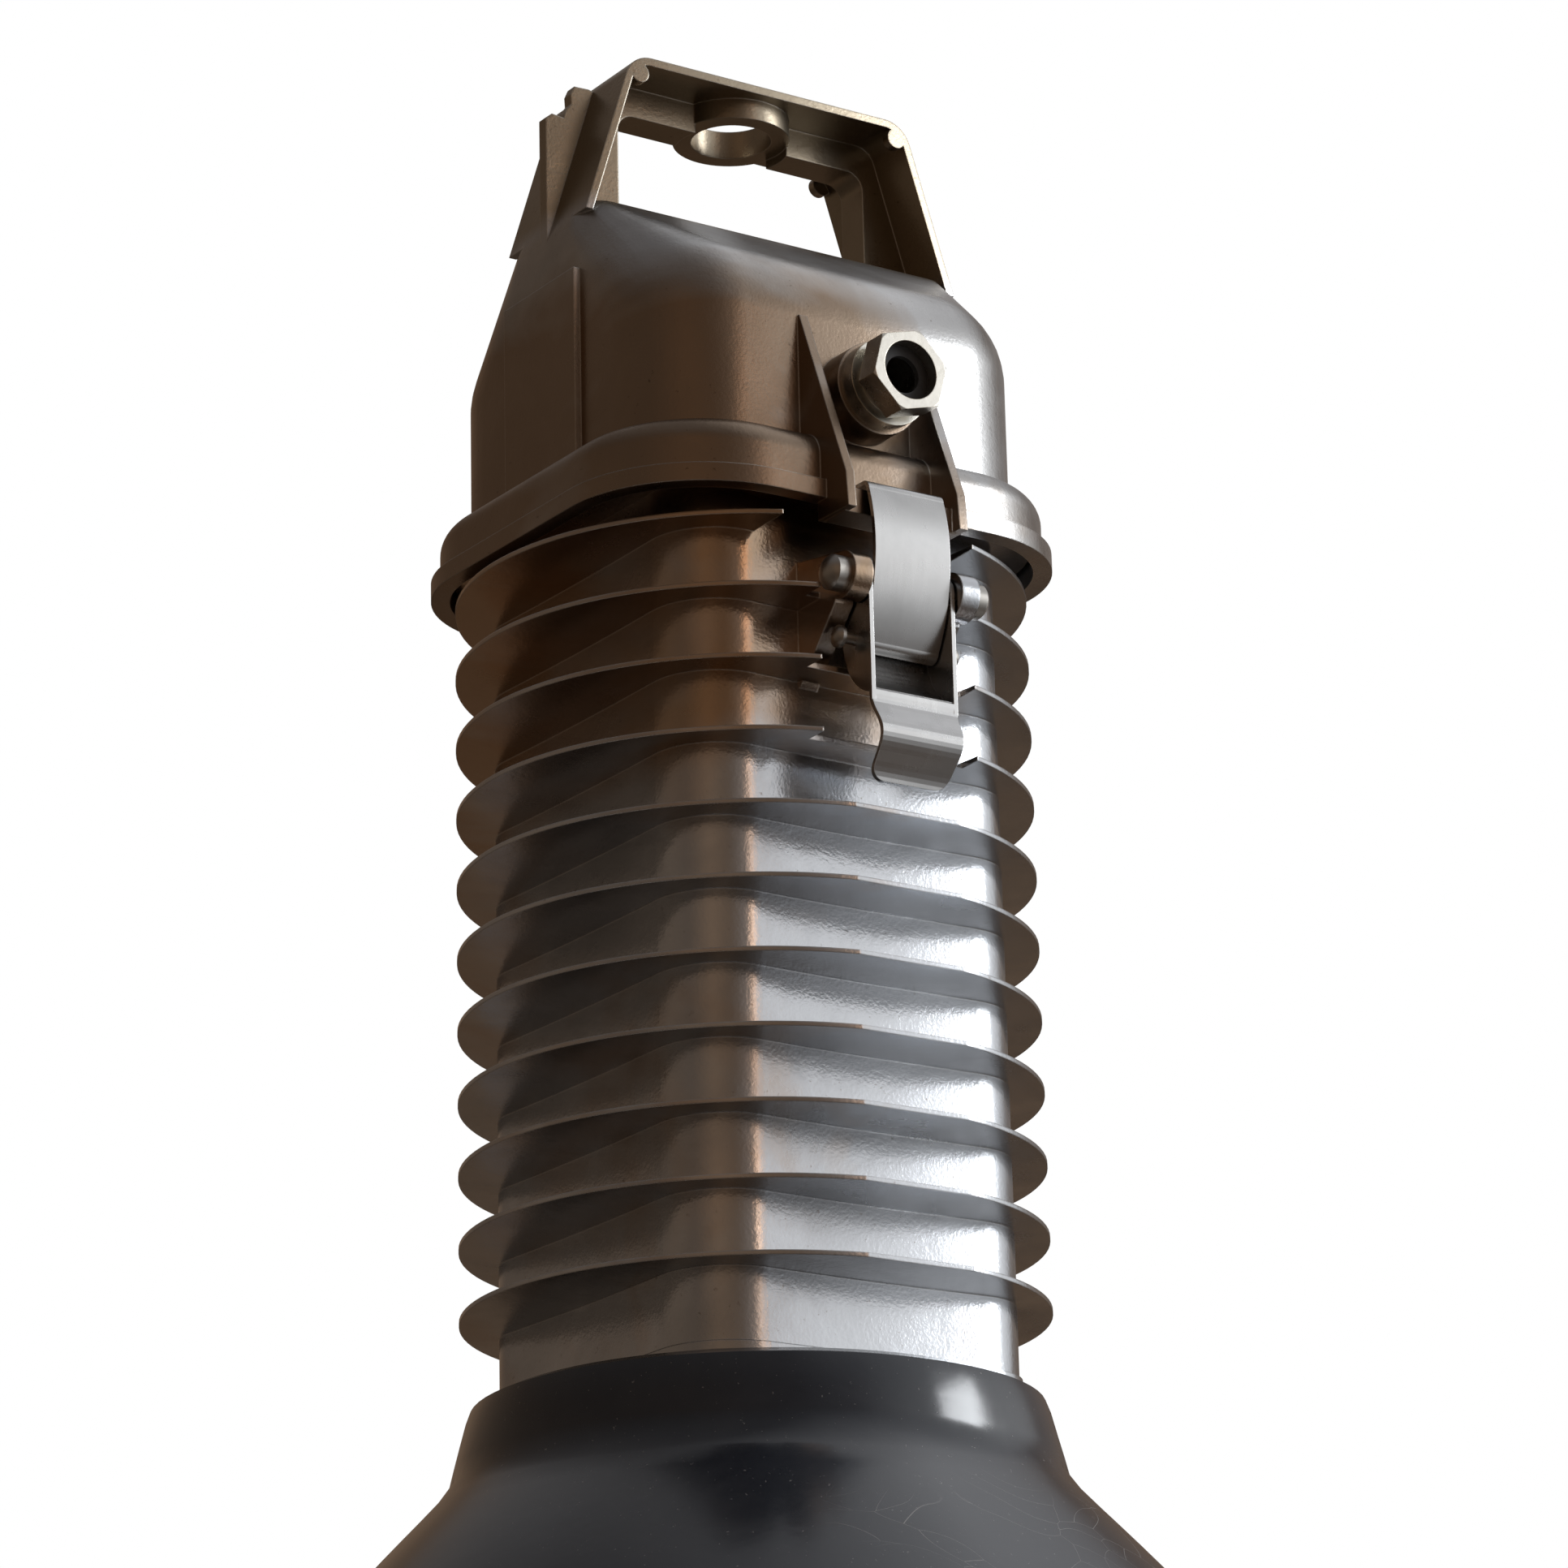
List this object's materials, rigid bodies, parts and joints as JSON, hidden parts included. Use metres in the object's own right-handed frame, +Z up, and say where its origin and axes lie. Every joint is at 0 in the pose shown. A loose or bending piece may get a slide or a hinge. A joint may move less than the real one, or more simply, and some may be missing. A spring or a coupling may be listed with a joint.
{
  "type": "high bay pendant luminaire",
  "caption": "Industrial high bay pendant light: a cast cover with a suspension bail over a finned gear housing, a toggle latch, a cable gland and a deep black enamelled reflector.",
  "frame": {"origin": "middle of the suspension hole in the bail, on the lamp axis", "axes": "+Z up along the lamp axis, -Y towards the latch and the cable gland, +Y towards the hinge, X along the hinge and latch pins"},
  "size_m": [0.4698, 0.4698, 0.6524],
  "materials": {
    "cast_aluminium": "raw pressure die casting, satin, weathered",
    "black_rubber": "matt moulded rubber",
    "plated_brass": "nickel-plated brass, semi-bright",
    "stainless": "bright rolled stainless steel",
    "zinc_plated_steel": "zinc plated",
    "varnished_steel": "laminated steel dipped in black varnish",
    "winding_wrap": "varnished winding wrap",
    "bare_aluminium": "drawn can",
    "grey_plastic": "moulded plastic",
    "white_plastic": "moulded plastic",
    "brass": "bare brass",
    "porcelain": "glazed porcelain",
    "nickel_brass": "nickel-plated screw cap",
    "opal_glass": "coated glass",
    "black_enamel": "gloss black vitreous enamel, fine scratches"
  },
  "bodies": {
    "cover_body": {"cover": "cast_aluminium", "cover_gasket": "black_rubber", "gland_body": "plated_brass", "gland_seal": "black_rubber", "hinge_pin": "stainless"},
    "gland_nut_body": {"gland_nut": "plated_brass"},
    "housing_body": {"housing": "cast_aluminium", "latch_pivot_pin": "stainless", "gear_tray": "zinc_plated_steel", "tray_screws": "zinc_plated_steel", "ballast_core": "varnished_steel", "ballast_winding": "winding_wrap", "ballast_base": "zinc_plated_steel", "ballast_screws": "zinc_plated_steel", "capacitor": "bare_aluminium", "capacitor_clip": "zinc_plated_steel", "ignitor": "grey_plastic", "terminal_block": "white_plastic", "terminal_screws": "brass", "holder_bracket": "zinc_plated_steel", "bracket_screws": "zinc_plated_steel", "lampholder": "porcelain", "holder_shell": "brass", "holder_contact": "brass", "holder_screws": "zinc_plated_steel", "lamp_cap": "nickel_brass", "lamp_bulb": "opal_glass", "reflector": "black_enamel", "reflector_screws": "stainless"},
    "lever_body": {"latch_lever": "stainless", "strap_pin": "stainless"},
    "strap_body": {"latch_strap": "stainless"}
  },
  "joints": [
    {"name": "housing_hinge", "type": "hinge", "parent": "cover_body", "child": "housing_body", "pos_m": [0, 0.094, -0.15425], "axis": [1, 0, 0], "range_deg": [0, 100]},
    {"name": "gland_nut_turn", "type": "hinge", "parent": "cover_body", "child": "gland_nut_body", "pos_m": [0, -0.09, -0.11825], "axis": [0, -1, 0], "continuous": true},
    {"name": "latch_lever_turn", "type": "hinge", "parent": "housing_body", "child": "lever_body", "pos_m": [0, -0.0896, -0.18675], "axis": [-1, 0, 0], "range_deg": [0, 110]},
    {"name": "strap_swing", "type": "hinge", "parent": "lever_body", "child": "strap_body", "pos_m": [0, -0.08364, -0.20425], "axis": [1, 0, 0], "range_deg": [0, 110]}
  ],
  "couplings": [
    {"joint": "strap_swing", "follows": "latch_lever_turn", "ratio": 1}
  ]
}
